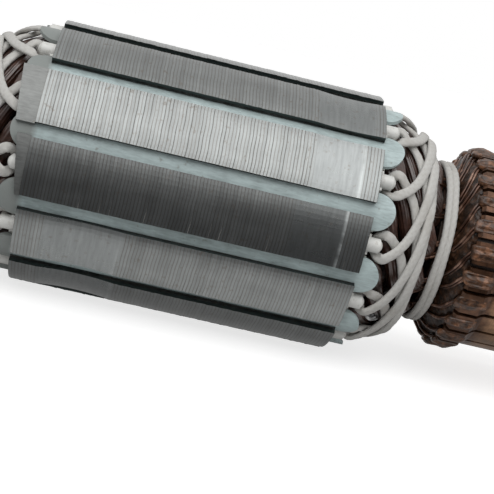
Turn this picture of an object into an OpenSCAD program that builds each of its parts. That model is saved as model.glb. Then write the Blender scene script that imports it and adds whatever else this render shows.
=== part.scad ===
// Wound armature of a small universal motor: a slotted sheet stack on an
// insulated shaft, lap-wound coils, corded end turns and a barred commutator.
// The shaft lies along X, the drive end is at low X and the commutator at high X.
// The origin is the middle of the drive-end bearing journal.

/* [Core] */
// Outer diameter of the sheet stack
core_d = 41; // [40.5:0.5:43]
// Length of the sheet stack
core_l = 50; // [30:1:80]
// Width of a tooth below its tip
tooth_w = 3.7; // [3.4:0.1:3.9]
// Width of a slot's mouth
slot_mouth = 2.2; // [1.6:0.1:2.8]
// Thickness of a tooth's lip at the mouth
lip_t = 1.1; // [0.8:0.1:1.2]
// Distance of a slot's floor from the axis
slot_floor_r = 11.6; // [11.4:0.1:11.8]
// Depth of the shallow balancing cuts in the teeth
balance_cut = 0.35; // [0.1:0.05:0.5]

/* [Shaft] */
// Diameter of the shaft inside the core and the commutator
shaft_d = 11; // [10.5:0.25:11.5]
// Diameter of the drive-end bearing journal
drive_journal_d = 10; // [9:0.5:10]
// Length of the drive-end bearing journal
drive_journal_l = 9; // [7:0.5:12]
// Diameter of the output end
output_d = 8; // [6:0.5:8.5]
// Length of the output end
output_l = 22; // [10:1:40]
// Diameter of the commutator-end bearing journal
tail_journal_d = 8; // [6:0.5:10]
// Length of the commutator-end bearing journal
tail_journal_l = 8; // [6:0.5:12]
// Free shaft between the drive journal and the winding
drive_gap = 12; // [6:1:30]
// Free shaft between the commutator and its journal
tail_gap = 4; // [2:0.5:15]

/* [Insulation] */
// Wall of the moulded tube round the shaft
tube_wall = 1.5; // [1:0.1:1.8]
// Thickness of the slot paper
paper_t = 0.25; // [0.15:0.05:0.3]
// Length of slot paper standing out at each end of the core
paper_cuff = 0.8; // [0.5:0.1:0.9]
// Thickness of a slot wedge
wedge_t = 0.5; // [0.4:0.05:0.6]
// Length of wedge standing out at each end of the core
wedge_out = 3.3; // [3:0.1:3.6]
// Thickness of an end insulator's plate
plate_t = 0.7; // [0.5:0.1:0.8]
// Diameter of an end insulator's pegs
peg_d = 2.2; // [1.8:0.1:2.3]
// Length of a peg beyond the end face of the core
peg_out = 2.7; // [2.2:0.1:3]
// Length of the fibre leaves beyond the drive end of the core, at their longest
leaf_out = 3.6; // [3.4:0.1:4]

/* [Winding] */
// Width of a coil's bundle in the end turns
bundle_w = 2.5; // [2.2:0.1:2.6]
// Distance from the core's face to the bundles' farthest bend
overhang = 10.4; // [10:0.1:11]
// Diameter of a pair of leads
lead_d = 0.9; // [0.6:0.05:1]

/* [Lacing] */
// Width of the flat lacing cord
cord_w = 1.5; // [1.2:0.1:1.7]
// Thickness of the flat lacing cord
cord_t = 0.8; // [0.6:0.05:0.9]
// Diameter of the cord that binds the neck
binding_d = 1; // [0.7:0.05:1]

/* [Commutator] */
// Diameter of the brush track
track_d = 30; // [29:0.5:31]
// Length of a bar
bar_l = 24; // [16:1:34]
// Width of the gap between two bars at the brush track
bar_gap = 0.6; // [0.4:0.05:0.8]
// Height of a riser above the brush track
riser_h = 0.9; // [0.7:0.1:1.2]
// Length of a riser along the shaft
riser_l = 4.3; // [3.8:0.1:6]
// Radial thickness of a bar
bar_t = 4.2; // [3.8:0.1:4.4]

/* [Hidden] */
slots = 12;
bars = 24;
slot_pitch = 360 / slots;
bar_pitch = 360 / bars;
coil_span = 5;

round_fn = 96;
small_fn = 32;
fit_gap = 0.05;      // clearance between pieces that fit together
chamfer = 0.6;

// Radii and places worked out from the driving sizes
core_r = core_d / 2;
shaft_r = shaft_d / 2;
tube_r = shaft_r + tube_wall;
roof_r = core_r - lip_t;
shoulder_drop = 0.7;
shoulder_r = roof_r - shoulder_drop;
half_slot = slot_pitch / 2;
spider_r = roof_r - 0.9;
peg_r = roof_r - peg_d / 2;

// Room for wire in a slot, from the paper on its floor to the paper's top edge
room_low = slot_floor_r + paper_t;
room_top = shoulder_r - wedge_t - 2 * fit_gap;
room_h = room_top - room_low;
bundle_h = 0.384 * room_h;

bend_reach = bundle_h / 2;
bend_bulge = 0.5;
winding_reach = overhang + bend_reach + bend_bulge;
core_x0 = drive_journal_l / 2 + drive_gap + winding_reach + 1;
core_x1 = core_x0 + core_l;
neck_l = 4.95;
comm_x = core_x1 + winding_reach + neck_l;
comm_end = comm_x + bar_l;
hub_end = comm_end + 0.8;
tail_x = hub_end + tail_gap;
track_r = track_d / 2;
riser_r = track_r + riser_h;
bar_in_r = track_r - bar_t;

// Half the width of a slot at a distance x from the axis, less a wall on each side
function slot_half(x, wall = 0) = (x * sin(half_slot) - tooth_w / 2 - wall) / cos(half_slot);

// Turns a drawing in the local XY plane into a section across the shaft
module across(x) translate([x, 0, 0]) rotate([90, 0, 90]) children();

// ---------- sheet stack ----------

// Outline of one slot on the local +X axis: mouth, sloping roof, straight sides, round floor
module slot_outline() {
    floor_half = slot_half(slot_floor_r + 0.9);
    translate([roof_r - 0.5, -slot_mouth / 2]) square([lip_t + 1.5, slot_mouth]);
    polygon([
        [roof_r, -slot_mouth / 2], [roof_r, slot_mouth / 2],
        [shoulder_r, slot_half(shoulder_r)], [slot_floor_r + 0.9, floor_half],
        [slot_floor_r + 0.3, floor_half - 0.3], [slot_floor_r, floor_half - 0.8],
        [slot_floor_r, 0.8 - floor_half], [slot_floor_r + 0.3, 0.3 - floor_half],
        [slot_floor_r + 0.9, -floor_half], [shoulder_r, -slot_half(shoulder_r)]]);
}

// Balancing cuts: tooth number, distance of the middle from the core's drive end, depth factor
balance_cuts = [[4, core_l - 5.8, 0.65], [5, core_l - 6.6, 0.5], [6, core_l - 7.4, 0.5],
                [7, 9.9, 1], [8, 10, 1]];
balance_wheel_r = 50;

// A cut is a hollow ground along one tooth by a wheel dressed to the core's curve
module balance_cut_tool(tooth, at, depth)
    across(core_x0 + at) rotate((tooth - 0.5) * slot_pitch) rotate_extrude(angle = slot_pitch, $fn = round_fn)
        intersection() {
            translate([core_r - depth + balance_wheel_r, 0]) circle(r = balance_wheel_r, $fn = 180);
            translate([core_r - 1, -core_l / 4]) square([2, core_l / 2]);
        }

module lamination_stack() color([0.62, 0.63, 0.62])
    difference() {
        across(core_x0) linear_extrude(core_l) difference() {
            circle(r = core_r, $fn = 180);
            circle(r = tube_r, $fn = round_fn);
            for (i = [0:slots - 1]) rotate((i + 0.5) * slot_pitch) slot_outline();
        }
        for (c = balance_cuts) balance_cut_tool(c[0], c[1], c[2] * balance_cut);
    }

// ---------- shaft ----------

module shaft() color([0.72, 0.72, 0.74]) {
    drive_r = drive_journal_d / 2;
    output_r = output_d / 2;
    tail_r = tail_journal_d / 2;
    drive_x = -drive_journal_l / 2;
    output_x = drive_x - output_l;
    end_x = tail_x + tail_journal_l;
    across(0) rotate_extrude($fn = round_fn) polygon([
        [0, output_x], [output_r - chamfer, output_x], [output_r, output_x + chamfer],
        [output_r, drive_x], [drive_r - 0.3, drive_x], [drive_r, drive_x + 0.3],
        [drive_r, -drive_x], [shaft_r, -drive_x + (shaft_r - drive_r) / 2],
        [shaft_r, tail_x - 1], [tail_r + 0.6, tail_x - 1], [tail_r + 0.6, tail_x], [tail_r, tail_x],
        [tail_r, end_x - chamfer], [tail_r - chamfer, end_x], [0, end_x]]);
}

module shaft_insulation() color([0.20, 0.17, 0.15])
    across(core_x0 - winding_reach) linear_extrude(comm_x - fit_gap - core_x0 + winding_reach) difference() {
        circle(r = tube_r, $fn = round_fn);
        circle(r = shaft_r, $fn = round_fn);
    }

// ---------- slot insulation ----------

// The slot's own outline moved in by a wall, up to just below its roof
module slot_room(wall, open = 0) {
    top = room_top;
    low = slot_floor_r + 0.9;
    low_half = slot_half(low, wall);
    polygon([
        [top + open, -slot_half(top + open, wall)], [top + open, slot_half(top + open, wall)], [low, low_half],
        [slot_floor_r + 0.3 + wall / 2, low_half - 0.3], [slot_floor_r + wall, low_half - 0.8],
        [slot_floor_r + wall, 0.8 - low_half], [slot_floor_r + 0.3 + wall / 2, 0.3 - low_half],
        [low, -low_half]]);
}

module slot_papers() color([0.80, 0.82, 0.78])
    for (i = [0:slots - 1])
        across(core_x0 - paper_cuff) rotate((i + 0.5) * slot_pitch) linear_extrude(core_l + 2 * paper_cuff)
            difference() {
                slot_room(0);
                slot_room(paper_t, paper_t);
            }

// A wedge is a strip arched across its width, with a round tongue at each end
wedge_half = slot_half(shoulder_r) - paper_t - fit_gap;
wedge_rise = 0.6;
wedge_top = roof_r - fit_gap;
wedge_arch_r = (wedge_half * wedge_half + wedge_rise * wedge_rise) / (2 * wedge_rise);

module slot_wedge(i) color([0.72, 0.78, 0.78])
    rotate([(i + 0.5) * slot_pitch, 0, 0]) intersection() {
        across(core_x0 - wedge_out) linear_extrude(core_l + 2 * wedge_out) difference() {
            translate([wedge_top - wedge_arch_r, 0]) circle(r = wedge_arch_r, $fn = 180);
            translate([wedge_top - wedge_arch_r, 0]) circle(r = wedge_arch_r - wedge_t, $fn = 180);
        }
        translate([core_x0 - wedge_out, roof_r - 4, 0]) rotate([-90, 0, 0]) linear_extrude(8) {
            translate([wedge_half, -wedge_half])
                square([core_l + 2 * wedge_out - 2 * wedge_half, 2 * wedge_half]);
            translate([wedge_half, 0]) circle(r = wedge_half, $fn = 64);
            translate([core_l + 2 * wedge_out - wedge_half, 0]) circle(r = wedge_half, $fn = 64);
        }
    }

// ---------- end insulators ----------

// Spider plate with one rounded peg on each tooth; the pegs point along +X from the plate's back
module end_insulator() {
    across(0) linear_extrude(plate_t) difference() {
        union() {
            circle(r = slot_floor_r, $fn = round_fn);
            for (i = [0:slots - 1]) rotate(i * slot_pitch)
                translate([0, -tooth_w / 2 + 0.3]) square([spider_r, tooth_w - 0.6]);
        }
        circle(r = tube_r, $fn = round_fn);
    }
    for (i = [0:slots - 1]) rotate([i * slot_pitch, 0, 0]) translate([0, peg_r, 0]) {
        rotate([0, 90, 0]) cylinder(d = peg_d, h = peg_out - peg_d / 4, $fn = small_fn);
        translate([peg_out - peg_d / 4 - 0.01, 0, 0]) rotate([0, 90, 0])
            rotate_extrude($fn = small_fn) intersection() {
                translate([0, peg_d / 4 - peg_d / 2]) circle(d = peg_d, $fn = small_fn);
                square([peg_d / 2, peg_d / 4]);
            }
    }
}

module commutator_end_insulator() color([0.90, 0.90, 0.88])
    translate([core_x1, 0, 0]) end_insulator();

module drive_end_insulator() color([0.90, 0.90, 0.88])
    translate([core_x0, 0, 0]) mirror([1, 0, 0]) end_insulator();

// Two thin fibre leaves that stand out past the drive end over two teeth, cut off obliquely
leaf_t = 0.45;
leaf_r = core_r - 0.25;
leaf_teeth = [5, 6];
leaf_half_angle = 12.5;

module fibre_leaves() color([0.68, 0.70, 0.67])
    for (k = [0:1])
        intersection() {
            across(core_x0 - leaf_out - 2) linear_extrude(leaf_out + 2)
                difference() {
                    circle(r = leaf_r, $fn = 180);
                    circle(r = leaf_r - leaf_t, $fn = 180);
                }
            rotate([leaf_teeth[k] * slot_pitch, 0, 0])
                translate([core_x0, 0, 0]) leaf_cut(k);
        }

// Outline of a leaf seen from outside, as a thick plate that trims the ring
module leaf_cut(k) {
    half = leaf_r * sin(leaf_half_angle);
    long = k == 0 ? leaf_out : leaf_out * 0.58;
    short = k == 0 ? leaf_out * 0.75 : leaf_out * 0.2;
    translate([0, leaf_r - 3, 0]) rotate([-90, 0, 0]) linear_extrude(6)
        polygon([[0, -half], [0, half], [-long, half], [-short, -half]]);
}

// ---------- coils ----------

// Half heights of the two layers in a slot, and the radii of their middles
side_h_out = 0.208 * room_h;
side_h_in = 0.192 * room_h;
side_r_out = room_top - side_h_out - 0.032 * room_h;
side_r_in = room_low + side_h_in + 0.04 * room_h;
side_gap = 0.1;
side_out = [slot_half(side_r_out - side_h_out / 2, paper_t) - side_gap, side_h_out];
side_in = [slot_half(side_r_in - side_h_in / 2, paper_t) - side_gap, side_h_in];
bend_r_in = tube_r + 2.5;
bend_r_out = bend_r_in + bundle_h + 0.5;
exit_l = 1.8;
turn_steps = 6;
bend_angle = 8;
turn_angle = coil_span * half_slot - bend_angle;

// A point from distance along the shaft, radius and angle
function polar(x, r, a) = [x, r * cos(a), r * sin(a)];

// A ring of a bundle: [place, direction that points out of the winding, half width, half height]
function ring(x, r, a, tilt, half) =
    [polar(x, r, a), [sin(tilt), cos(tilt) * cos(a), cos(tilt) * sin(a)], half[0], half[1]];

bundle_half = [bundle_w / 2, bundle_h / 2];
function blend(a, b, t) = a * (1 - t) + b * t;
cone = atan((side_r_out - bend_r_out) / (overhang - exit_l));
function eased(t) = pow(t, 1.2);

// Half an end turn, from the core's face to the bend. side is 1 at the commutator end, -1 at the drive end
function half_turn(face, side, r0, r1, a0, way, tilt, half) = concat(
    [ring(face, r0, a0, tilt, half)],
    [for (i = [0:turn_steps]) let (t = i / turn_steps)
        ring(face + side * blend(exit_l, overhang, t), blend(r0, r1, t),
             a0 + way * turn_angle * eased(t), tilt + side * cone * min(1, t * 3),
             blend(half, bundle_half, min(1, t * 3)))]);

// The bend where the bundle turns from the outer layer to the inner one
function end_bend(face, side, a_mid) =
    [for (b = [60, 90, 120])
        ring(face + side * (overhang + bend_bulge * sin(b)),
             (bend_r_out + bend_r_in) / 2 + (bend_r_out - bend_r_in) / 2 * cos(b),
             a_mid - bend_angle * cos(b), side * b, bundle_half)];

function backwards(list) = [for (i = [len(list) - 1:-1:0]) list[i]];

// The whole bundle: outer side, commutator-end turn, inner side, drive-end turn
function coil_rings() = let (span = coil_span * slot_pitch, mid = span / 2) concat(
    half_turn(core_x1, 1, side_r_out, bend_r_out, 0, 1, 0, side_out),
    end_bend(core_x1, 1, mid),
    backwards(half_turn(core_x1, 1, side_r_in, bend_r_in, span, -1, 180, side_in)),
    half_turn(core_x0, -1, side_r_in, bend_r_in, span, -1, 180, side_in),
    backwards(end_bend(core_x0, -1, mid)),
    backwards(half_turn(core_x0, -1, side_r_out, bend_r_out, 0, 1, 0, side_out)));

function unit(v) = v / norm(v);
function square_to(v, t) = unit(v - (v * t) * t);

// Corners of a flattened loop section, with cut corners
section = [[1, 0.5], [0.55, 1], [-0.55, 1], [-1, 0.5], [-1, -0.5], [-0.55, -1], [0.55, -1], [1, -0.5]];

// A closed loop swept along its rings
module closed_bundle(rings, section) {
    n = len(rings);
    m = len(section);
    points = [for (i = [0:n - 1])
        let (t = unit(rings[(i + 1) % n][0] - rings[(i + n - 1) % n][0]),
             up = square_to(rings[i][1], t), side = cross(t, up))
        for (c = section) rings[i][0] + side * c[0] * rings[i][2] + up * c[1] * rings[i][3]];
    faces = [for (i = [0:n - 1], j = [0:m - 1])
        let (a = i * m + j, b = i * m + (j + 1) % m,
             c = ((i + 1) % n) * m + (j + 1) % m, d = ((i + 1) % n) * m + j)
        each [[a, b, c], [a, c, d]]];
    polyhedron(points, faces);
}

// A tube swept along a short run of points
module lead_tube(points_along, r) {
    m = 6;
    n = len(points_along);
    points = [for (i = [0:n - 1])
        let (p = points_along[i],
             t = unit(points_along[min(n - 1, i + 1)] - points_along[max(0, i - 1)]),
             side = square_to(cross(t, [p[0] * 0, p[1], p[2]]), t), up = cross(side, t))
        for (j = [0:m - 1]) p + r * (side * cos(360 * j / m) + up * sin(360 * j / m))];
    faces = concat(
        [for (i = [0:n - 2], j = [0:m - 1])
            let (a = i * m + j, b = i * m + (j + 1) % m, c = a + m, d = b + m)
            each [[a, b, c], [b, d, c]]],
        [[for (j = [m - 1:-1:0]) j]],
        [[for (j = [0:m - 1]) (n - 1) * m + j]]);
    polyhedron(points, faces);
}

lead_neck_r = bend_r_out - bend_reach + 0.35;
lead_seat_r = riser_r - 0.9;
lead_skew = 2 * bar_pitch;
binding_pitch = 0.93 * binding_d;
binding_x = core_x1 + winding_reach + fit_gap + 0.1 + binding_d / 2;
binding_end = binding_x + binding_pitch + binding_d / 2;
rise = comm_x - binding_end;

// A pair of leads from a bend's outer side, under the binding, and slanting up into a riser
function lead_path(a0, a1) = [
    polar(core_x1 + overhang + 0.2, bend_r_out - 0.2, a0),
    polar(core_x1 + winding_reach, lead_neck_r + 0.1, blend(a0, a1, 0.08)),
    polar(binding_end, lead_neck_r, blend(a0, a1, 0.24)),
    polar(binding_end + 0.28 * rise, blend(lead_neck_r, lead_seat_r, 0.34), blend(a0, a1, 0.45)),
    polar(binding_end + 0.52 * rise, blend(lead_neck_r, lead_seat_r, 0.72), blend(a0, a1, 0.68)),
    polar(binding_end + 0.78 * rise, blend(lead_neck_r, lead_seat_r, 0.96), blend(a0, a1, 0.9)),
    polar(comm_x + 0.2, lead_seat_r, a1),
    polar(comm_x + riser_l * 0.6, lead_seat_r, a1)];

module coil(i) color([0.28, 0.17, 0.13])
    rotate([(i + 0.5) * slot_pitch, 0, 0]) {
        mid = coil_span * half_slot;
        closed_bundle(coil_rings(), section);
        for (k = [0:1])
            lead_tube(lead_path(mid - 4 + 8 * k, mid - lead_skew + (k - 0.5) * bar_pitch), lead_d / 2);
    }

// ---------- lacing ----------

slope = (side_r_out - bend_r_out) / (overhang - exit_l);
function dome_r(x) = side_r_out - slope * max(0, x - exit_l) + (bundle_h / 2 + fit_gap) / cos(cone);
function low_cord_r(x) = dome_r(x) + (cord_t / 2 + fit_gap) / cos(cone);
function top_cord_r(x) = low_cord_r(x) + cord_t + 3 * fit_gap;

lace_turn = 66;
neck_turn = coil_span * slot_pitch - 2 * lace_turn;
lace_x0 = peg_out + 1.8;
lace_x1 = overhang - 1.1;
lace_steps = 6;

function lace_ring(x, r, a) = [polar(x, r, a), [0.45, cos(a), sin(a)], cord_w / 2, cord_t / 2];
function run_x(t) = lace_x0 + (lace_x1 - lace_x0) * sin(90 * pow(t, 0.8));
function run_a(t) = 2.5 - (lace_turn + 2.5) * pow(t, 1.25);
function settle(t) = t < 0.8 ? 1 : 1 - (t - 0.8) / 0.2;

// One strand each way from a peg to the neck; the outgoing strand lies on top
function lace_out(a) = [for (i = [0:lace_steps]) let (t = i / lace_steps, x = run_x(t))
    lace_ring(x, blend(low_cord_r(x), top_cord_r(x), settle(t)), a + run_a(t))];
function lace_back(a) = [for (i = [lace_steps:-1:0]) let (t = i / lace_steps, x = run_x(t))
    lace_ring(x, low_cord_r(x), a - run_a(t))];

// The cord goes round a peg's foot and comes out on its other side
foot_x = plate_t + cord_t + 0.1;
foot_r = peg_r - peg_d / 2 - cord_t / 2 - 0.6;
tip_x = peg_out + cord_t / 2;
function peg_loop(a) = [
    lace_ring(tip_x, peg_r - 0.2, a - 5.5), lace_ring(foot_x + 0.3, foot_r + 0.55, a - 3.3),
    lace_ring(foot_x, foot_r, a), lace_ring(foot_x + 0.3, foot_r + 0.55, a + 3.3),
    lace_ring(tip_x, peg_r + 0.1, a + 5.5)];

// Twelve loops of one endless cord; each goes five pegs further round
function lacing_rings() = [for (k = [0:slots - 1]) let (a = -k * coil_span * slot_pitch)
    each concat(peg_loop(a), lace_out(a), lace_back(a - 2 * lace_turn - neck_turn))];

cord_section = [[1, 0], [0.6, 1], [-0.6, 1], [-1, 0], [-0.6, -1], [0.6, -1]];

module lacing() closed_bundle(lacing_rings(), cord_section);

module commutator_end_lacing() color([0.86, 0.86, 0.84])
    translate([core_x1, 0, 0]) lacing();

module drive_end_lacing() color([0.86, 0.86, 0.84])
    translate([core_x0, 0, 0]) mirror([1, 0, 0]) lacing();

// Two turns of cord round the neck, over the leads
module neck_binding() color([0.88, 0.88, 0.86])
    across(binding_x) rotate_extrude($fn = round_fn)
        for (k = [0, 1]) translate([lead_neck_r + lead_d / 2 + fit_gap + binding_d / 2, k * binding_pitch])
            circle(d = binding_d, $fn = small_fn);

// ---------- commutator ----------

gap_angle = 2 * asin(bar_gap / 2 / track_r);
bar_angle = bar_pitch - gap_angle;
keeper = 1.5;

// Side view of a bar: riser in front, brush track, and a dovetail foot
module bar_profile() polygon([
    [bar_in_r + keeper, 0], [riser_r - 0.5, 0], [riser_r, 0.5], [riser_r, riser_l - 0.8],
    [track_r + 0.3, riser_l - 0.1], [track_r, riser_l + 0.5], [track_r, bar_l - 0.4],
    [track_r - 0.4, bar_l], [bar_in_r + keeper, bar_l], [bar_in_r + keeper + 0.6, bar_l - 3],
    [bar_in_r, bar_l - 3.8], [bar_in_r, 3.8], [bar_in_r + keeper + 0.6, 3]]);

module bar_blank()
    across(comm_x) rotate(-bar_angle / 2) rotate_extrude(angle = bar_angle, $fn = round_fn) bar_profile();

module commutator_bar(i) color([0.72, 0.46, 0.26])
    rotate([(i + 0.5) * bar_pitch, 0, 0]) difference() {
        bar_blank();
        translate([comm_x - 1, lead_seat_r - lead_d / 2 - 2 * fit_gap, -lead_d / 2 - fit_gap])
            cube([1 + riser_l * 0.6 + 0.3, 4, lead_d + 2 * fit_gap]);
    }

// Nose of the hub, that the leads lie on from the neck to the risers
nose_x = binding_x - binding_d / 2 - comm_x;
nose_r = lead_neck_r - lead_d / 2 - fit_gap;

// Moulded body: fills the space under the bars and stands a little lower between them
module commutator_hub() color([0.16, 0.12, 0.10])
    difference() {
        across(comm_x) rotate_extrude($fn = round_fn) polygon([
            [tube_r + fit_gap, nose_x], [nose_r, nose_x], [nose_r, -0.93 * rise],
            [blend(lead_neck_r, lead_seat_r, 0.21), -0.55 * rise],
            [blend(lead_neck_r, lead_seat_r, 0.56), -0.31 * rise],
            [track_r - 1, -0.13 * rise], [track_r - 1, bar_l], [bar_in_r + 1, hub_end - comm_x],
            [shaft_r, hub_end - comm_x], [shaft_r, 0], [tube_r + fit_gap, 0]]);
        for (i = [0:bars - 1]) rotate([(i + 0.5) * bar_pitch, 0, 0]) bar_blank();
    }

shaft();
shaft_insulation();
lamination_stack();
drive_end_insulator();
commutator_end_insulator();
slot_papers();
fibre_leaves();
commutator_hub();
commutator_end_lacing();
drive_end_lacing();
neck_binding();
for (i = [1:slots]) slot_wedge(i - 1);
for (i = [1:slots]) coil(i - 1);
for (i = [1:bars]) commutator_bar(i - 1);
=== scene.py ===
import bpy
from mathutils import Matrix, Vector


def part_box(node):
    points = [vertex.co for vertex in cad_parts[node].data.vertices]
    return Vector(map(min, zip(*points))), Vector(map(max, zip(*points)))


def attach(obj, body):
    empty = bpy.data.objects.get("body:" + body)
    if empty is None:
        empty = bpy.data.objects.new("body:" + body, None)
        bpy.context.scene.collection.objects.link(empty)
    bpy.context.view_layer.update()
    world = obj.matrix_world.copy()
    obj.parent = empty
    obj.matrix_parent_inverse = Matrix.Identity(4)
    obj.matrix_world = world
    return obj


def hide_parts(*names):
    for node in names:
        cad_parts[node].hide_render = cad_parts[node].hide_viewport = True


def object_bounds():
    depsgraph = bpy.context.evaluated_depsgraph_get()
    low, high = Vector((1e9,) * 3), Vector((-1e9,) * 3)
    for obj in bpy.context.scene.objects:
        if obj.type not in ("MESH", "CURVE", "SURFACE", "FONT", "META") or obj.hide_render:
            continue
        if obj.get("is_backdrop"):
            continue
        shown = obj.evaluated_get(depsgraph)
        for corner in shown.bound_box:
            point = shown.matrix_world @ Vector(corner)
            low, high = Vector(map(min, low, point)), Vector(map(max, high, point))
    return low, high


bl_info = {
    "name": "Wound motor armature",
    "version": (1, 0, 0),
    "blender": (4, 5, 0),
    "location": "3D View > Sidebar > Armature",
    "description": "Dresses the armature's frame with sheet edges, wire, cord, varnish and metal finishes",
    "category": "Object",
}

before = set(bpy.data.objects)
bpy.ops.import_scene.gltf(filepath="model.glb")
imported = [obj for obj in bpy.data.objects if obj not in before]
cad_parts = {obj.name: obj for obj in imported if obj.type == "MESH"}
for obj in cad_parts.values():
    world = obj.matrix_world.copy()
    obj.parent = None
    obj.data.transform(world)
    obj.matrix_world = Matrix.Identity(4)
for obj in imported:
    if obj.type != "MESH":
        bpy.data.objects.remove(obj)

import math
from functools import cached_property

import bpy
import numpy as np
from bpy.props import FloatProperty, FloatVectorProperty, IntProperty, PointerProperty
from bpy.types import Operator, Panel, PropertyGroup
from mathutils import Matrix, Vector

MM = 0.001
SLOTS = 12
BARS = 24
PITCH = 360 / SLOTS
BAR_PITCH = 360 / BARS
COIL_SPAN = 5
SPAN_ANGLE = COIL_SPAN * PITCH


def span_along(node):
    """Lowest and highest place of a frame node along the shaft, in millimetres."""
    low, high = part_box(node)
    return low.x / MM, high.x / MM


def reach(node):
    """Greatest distance of a frame node's vertices from the shaft's axis, in millimetres."""
    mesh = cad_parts[node].data
    places = np.empty(len(mesh.vertices) * 3, np.float32)
    mesh.vertices.foreach_get("co", places)
    return float(np.hypot(places[1::3], places[2::3]).max()) / MM


CORE_X0, CORE_X1 = span_along("lamination_stack")
COMM_X = span_along("commutator_bar_1")[0]
CORE_R = reach("lamination_stack")
RISER_R = reach("commutator_bar_1")

# Sizes of the core section, in millimetres and degrees
TOOTH_W = 3.7
SLOT_MOUTH = 2.2
LIP_T = 1.1
SLOT_FLOOR_R = 11.6
SHOULDER_DROP = 0.7
FLOOR_CORNER = 0.9
TUBE_R = 7.0
ROOF_R = CORE_R - LIP_T
SHOULDER_R = ROOF_R - SHOULDER_DROP
HALF_TIP = PITCH / 2 - math.degrees(math.asin(SLOT_MOUTH / 2 / CORE_R))

# The sheets' edges: places across one sheet with the share of the groove's depth there, the most that a sheet
# stands out, how far the stack waves, the depth over which grinding shows, and the width of the painted glint
# near a balancing cut's far end
SHEET_PROFILE = ((0.0, 1.0), (0.16, 0.12), (0.5, 0.0), (0.84, 0.12))
STAND_OUT = 0.03
STACK_WAVE = 0.07
GROUND_EDGE = 0.05
PAINTED_GLINT_W = 0.45

# How far the tips' skin turns down the slot mouths, and how far the slot walls' rim and their part between
# the ends stay below it, in millimetres
MOUTH_TOP, MOUTH_LOW = 0.08, 0.9
WALL_TOP = 0.6
UNDER_SKIN = 0.55
UNDER_STEP = 0.02

# Balancing cuts: tooth, middle from the core's drive end, depth, strength of the painted glint near the cut's
# far end
BALANCE_WHEEL_R = 50.0
BALANCE_CUTS = ((4, 44.2, 0.2275, 0.1), (5, 43.4, 0.175, 0.15), (6, 42.6, 0.175, 1.0), (7, 9.9, 0.35, 0.1),
                (8, 10.0, 0.35, 0.1))

# Route of a coil's bundle, in millimetres and degrees
OVERHANG = 10.4
EXIT_L = 1.8
SIDE_R_OUT, SIDE_R_IN = 16.6, 13.3
BEND_R_OUT, BEND_R_IN = 12.4, 9.5
BEND_BULGE = 0.5
BEND_ANGLE = 8.0
TURN_ANGLE = SPAN_ANGLE / 2 - BEND_ANGLE
TURN_POWER = 1.2
TURN_STEPS = 6
BUNDLE = (1.25, 1.2)
SIDE_OUT = (2.0, 1.3)
SIDE_IN = (1.13, 1.2)
CONE_SLOPE = (SIDE_R_OUT - BEND_R_OUT) / (OVERHANG - EXIT_L)
CONE = math.degrees(math.atan(CONE_SLOPE))
WINDING_REACH = OVERHANG + BUNDLE[1] + BEND_BULGE

# Route of the lacing, in millimetres and degrees, with its outward slope and the share of a strand's run at
# which it settles; a peg's loop gives places out of the core, radii and angles
CORD_W, CORD_T = 1.5, 0.8
FIT_GAP = 0.05
PEG_LOOP = ((3.1, 18.1, -5.5), (1.9, 16.75, -3.3), (1.6, 16.2, 0), (1.9, 16.75, 3.3), (3.1, 18.4, 5.5))
LACE_START = 2.5
LACE_TURN = 66.0
LACE_X0, LACE_X1 = 4.5, OVERHANG - 1.1
LACE_TILT = 0.45
NECK_TURN = SPAN_ANGLE - 2 * LACE_TURN
SETTLE_FROM = 0.8

# Leads, risers and the binding round the neck, in millimetres and degrees
LEAD_D = 0.9
LEAD_NECK_R = BEND_R_OUT - BUNDLE[1] + 0.35
LEAD_SEAT_R = RISER_R - 0.9
LEAD_EDGE = 4
LEAD_SWAY = 0.05
RISER_L = 4.3
LEAD_SKEW = 2 * BAR_PITCH
BINDING_TURNS = 2
BINDING_D = 1.0
BINDING_PITCH = 0.93 * BINDING_D
BINDING_R = LEAD_NECK_R + LEAD_D / 2 + FIT_GAP + BINDING_D / 2
BINDING_X = CORE_X1 + WINDING_REACH + FIT_GAP + 0.1 + BINDING_D / 2
BINDING_END = BINDING_X + BINDING_PITCH + BINDING_D / 2

# Shares of the way from the binding to the riser, of the rise to the seat, and of the turn to the riser
LEAD_RISE = ((0, 0, 0.24), (0.28, 0.34, 0.45), (0.52, 0.72, 0.68), (0.78, 0.96, 0.9))

# Varnish between the leads: how far its skin and its lower side lie below the leads' middle, in millimetres
NECK_DROP, NECK_UNDER = 0.26, 0.7

# Random phases of waves run from 0 to about a whole turn, in radians
PHASES = 6.3

# The stage, in metres, and the camera's sensor, in millimetres; greys, colours and glows have no unit
FLOOR_HALF = 3.0
FLOOR_DROP = 0.0002
FLOOR_GREY = 0.5
FLOOR_GLOW = 0.72
CARD_HALF = 0.6
CARD_NEAR, CARD_FAR, CARD_TOP = -0.03, -0.55, 0.10
CARD_DROP = 0.0001
CARD_COLOUR = (0.04, 0.04, 0.045, 1)
STRIP_HALF = 0.013
STRIP_GLOW = 0.30
LAMP_PLACE, LAMP_AIM, LAMP_SIZE = (0.03, -0.36, 0.50), (0.055, 0, 0), 0.65
SENSOR_W = 36
WHITE = (1, 1, 1, 1)


# ---------- settings ----------

def length(name, description, default, **limits):
    """A distance that a user can change."""
    return FloatProperty(name=name, description=description, default=default, unit="LENGTH",
                         subtype="DISTANCE", precision=5, **limits)


def turn(name, description, degrees):
    """An angle that a user can change."""
    return FloatProperty(name=name, description=description, default=math.radians(degrees),
                         unit="ROTATION", subtype="ANGLE")


def tint(name, what, default):
    """The colour of something, that a user can change."""
    return FloatVectorProperty(name=name, description="Colour of " + what, default=default,
                               subtype="COLOR", size=3, min=0, max=1)


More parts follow.
